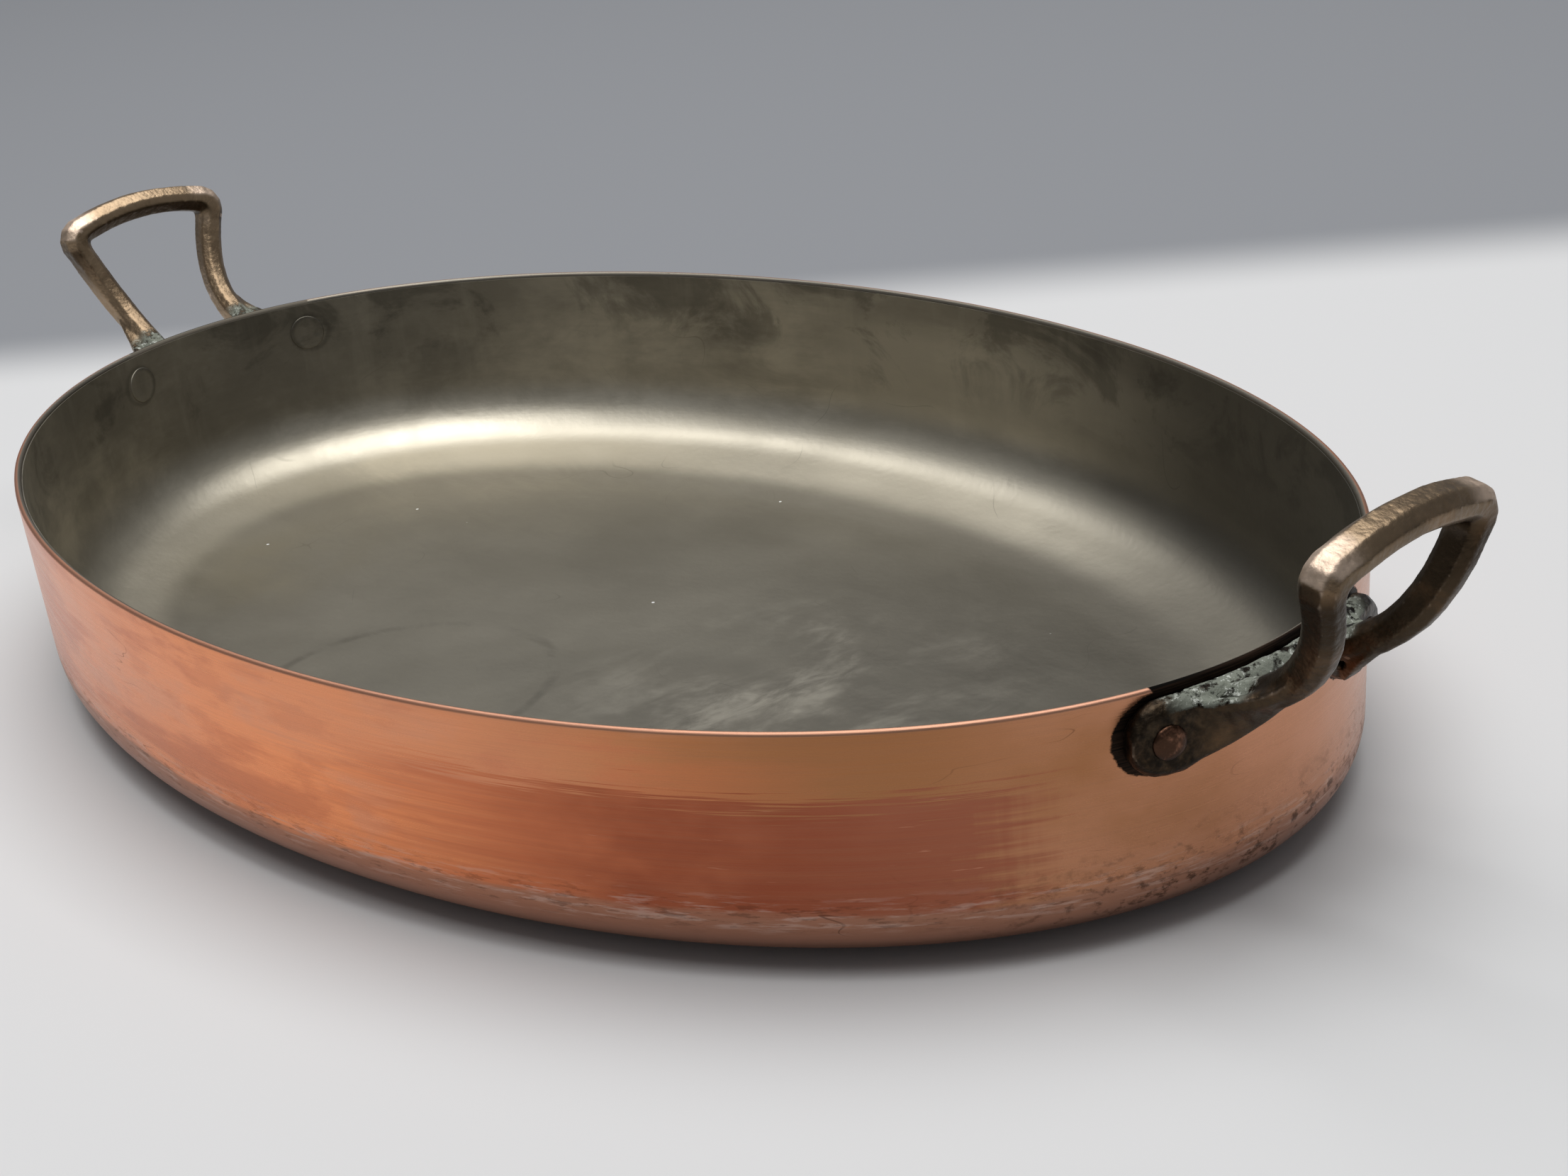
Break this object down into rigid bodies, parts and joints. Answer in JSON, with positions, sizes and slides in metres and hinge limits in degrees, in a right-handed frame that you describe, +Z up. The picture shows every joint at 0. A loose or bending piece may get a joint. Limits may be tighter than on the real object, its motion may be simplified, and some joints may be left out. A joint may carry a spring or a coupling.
{
  "type": "oval copper baking dish",
  "caption": "Shallow oval baking dish of sheet copper with a tinned inside and a cast bronze loop handle riveted to each end.",
  "frame": {"origin": "middle of the flat underside of the base", "axes": "+Z up, out of the open top; +X along the oval's length towards the right handle; +Y across it, to the back"},
  "size_m": [0.529, 0.296, 0.1035],
  "materials": {
    "copper": "polished copper gone satin, with brown oxide low on the side",
    "tin": "wiped tin, grey and stained, satin",
    "bronze": "cast bronze with a brown patina, worn bright on the grip",
    "rivet_copper": "hammered copper, darkened outside and tinned inside"
  },
  "bodies": {
    "root": {"copper_shell": "copper", "tin_lining": "tin", "right_handle": "bronze", "left_handle": "bronze", "rivet_left_front": "rivet_copper", "rivet_left_back": "rivet_copper", "rivet_right_front": "rivet_copper", "rivet_right_back": "rivet_copper"}
  },
  "joints": []
}
